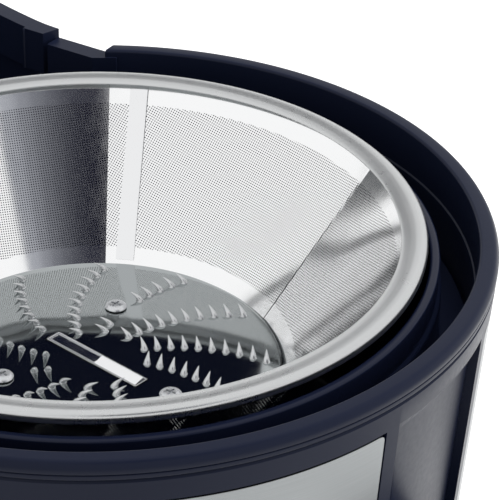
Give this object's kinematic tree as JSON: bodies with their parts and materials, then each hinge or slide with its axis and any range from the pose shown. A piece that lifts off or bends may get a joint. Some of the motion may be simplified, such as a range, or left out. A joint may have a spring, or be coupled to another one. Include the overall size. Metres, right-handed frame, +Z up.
{
  "type": "centrifugal juicer",
  "caption": "Juicer with its lid off: steel filter basket and toothed disc in a bowl, on a round black motor housing with steel side panels, spout, latches, knob and rear pulp bin.",
  "frame": {"origin": "on the table under the middle of the machine's footprint", "axes": "+Z up, -Y towards the juice spout, +Y towards the pulp bin, +X towards the speed knob; the basket spins about a vertical line 25 mm in front of the origin"},
  "size_m": [0.231, 0.33, 0.25],
  "materials": {
    "black_plastic": "moulded ABS, satin, blue-black",
    "dark_plastic": "moulded ABS and nylon, matte black",
    "brushed_steel": "stainless sheet, horizontally brushed",
    "polished_steel": "stainless steel, mirror polished",
    "filter_steel": "stainless foil, finely perforated",
    "rubber": "matte black rubber",
    "lamination": "stacked electrical steel",
    "copper": "enamelled copper wire",
    "carbon": "pressed carbon",
    "board": "green circuit board",
    "bronze": "sintered bronze",
    "cast_metal": "die-cast alloy and plated steel fasteners"
  },
  "bodies": {
    "housing": {"base_plate": "dark_plastic", "foot_1": "rubber", "foot_2": "rubber", "foot_3": "rubber", "foot_4": "rubber", "base_screw_1": "cast_metal", "base_screw_2": "cast_metal", "base_screw_3": "cast_metal", "base_screw_4": "cast_metal", "motor_housing": "black_plastic", "cord_inlet": "rubber", "steel_panel_right": "brushed_steel", "steel_panel_left": "brushed_steel", "top_collar": "black_plastic", "motor_deck": "dark_plastic", "shaft_seal": "rubber", "stator_core": "lamination", "field_coil_front": "copper", "field_coil_rear": "copper", "bracket_lower": "cast_metal", "bearing_lower": "bronze", "bracket_upper": "cast_metal", "bearing_upper": "bronze", "brush_holder_left": "bronze", "carbon_brush_left": "carbon", "brush_holder_right": "bronze", "carbon_brush_right": "carbon", "spout_duct": "black_plastic", "latch_bracket_right": "black_plastic", "latch_pin_right": "cast_metal", "latch_bracket_left": "black_plastic", "latch_pin_left": "cast_metal", "knob_bezel": "black_plastic", "speed_switch": "dark_plastic", "control_board": "board"},
    "rotor": {"motor_shaft": "cast_metal", "armature_core": "lamination", "armature_winding_lower": "copper", "armature_winding_upper": "copper", "commutator": "copper", "cooling_fan": "dark_plastic", "drive_coupling": "dark_plastic"},
    "basket": {"basket_rim": "polished_steel", "filter_cone": "filter_steel", "seam_strip": "polished_steel", "basket_base": "polished_steel", "basket_hub": "dark_plastic", "disc_screw_1": "cast_metal", "disc_screw_2": "cast_metal", "disc_screw_3": "cast_metal", "grating_disc": "polished_steel", "centre_bar": "polished_steel"},
    "bowl": {"juice_bowl": "black_plastic"},
    "spout_flap": {"spout_tip": "black_plastic"},
    "latch_right": {"latch_arm_right": "black_plastic"},
    "latch_left": {"latch_arm_left": "black_plastic"},
    "knob": {"speed_knob": "black_plastic"},
    "bin": {"pulp_bin": "black_plastic"}
  },
  "joints": [
    {"name": "drive_spin", "type": "hinge", "parent": "housing", "child": "rotor", "pos_m": [0, -0.025, 0.12], "axis": [0, 0, 1], "continuous": true},
    {"name": "basket_lift", "type": "slide", "parent": "rotor", "child": "basket", "axis": [0, 0, 1], "range_m": [0, 0.09]},
    {"name": "bowl_lift", "type": "slide", "parent": "housing", "child": "bowl", "axis": [0, 0, 1], "range_m": [0, 0.09]},
    {"name": "spout_flip", "type": "hinge", "parent": "housing", "child": "spout_flap", "pos_m": [0, -0.146, 0.173], "axis": [-1, 0, 0], "range_deg": [0, 55]},
    {"name": "latch_right_swing", "type": "hinge", "parent": "housing", "child": "latch_right", "pos_m": [0.10746, -0.025, 0.21], "axis": [0, -1, 0], "range_deg": [0, 175]},
    {"name": "latch_left_swing", "type": "hinge", "parent": "housing", "child": "latch_left", "pos_m": [-0.10746, -0.025, 0.21], "axis": [0, 1, 0], "range_deg": [0, 175]},
    {"name": "knob_turn", "type": "hinge", "parent": "housing", "child": "knob", "pos_m": [0.09138, -0.025, 0.074], "axis": [0.9978, 0, -0.0659], "range_deg": [0, 150]},
    {"name": "bin_pull", "type": "slide", "parent": "housing", "child": "bin", "axis": [0, 1, 0], "range_m": [0, 0.15]}
  ],
  "couplings": [
    {"joint": "basket_lift", "follows": "bowl_lift", "ratio": 1}
  ]
}
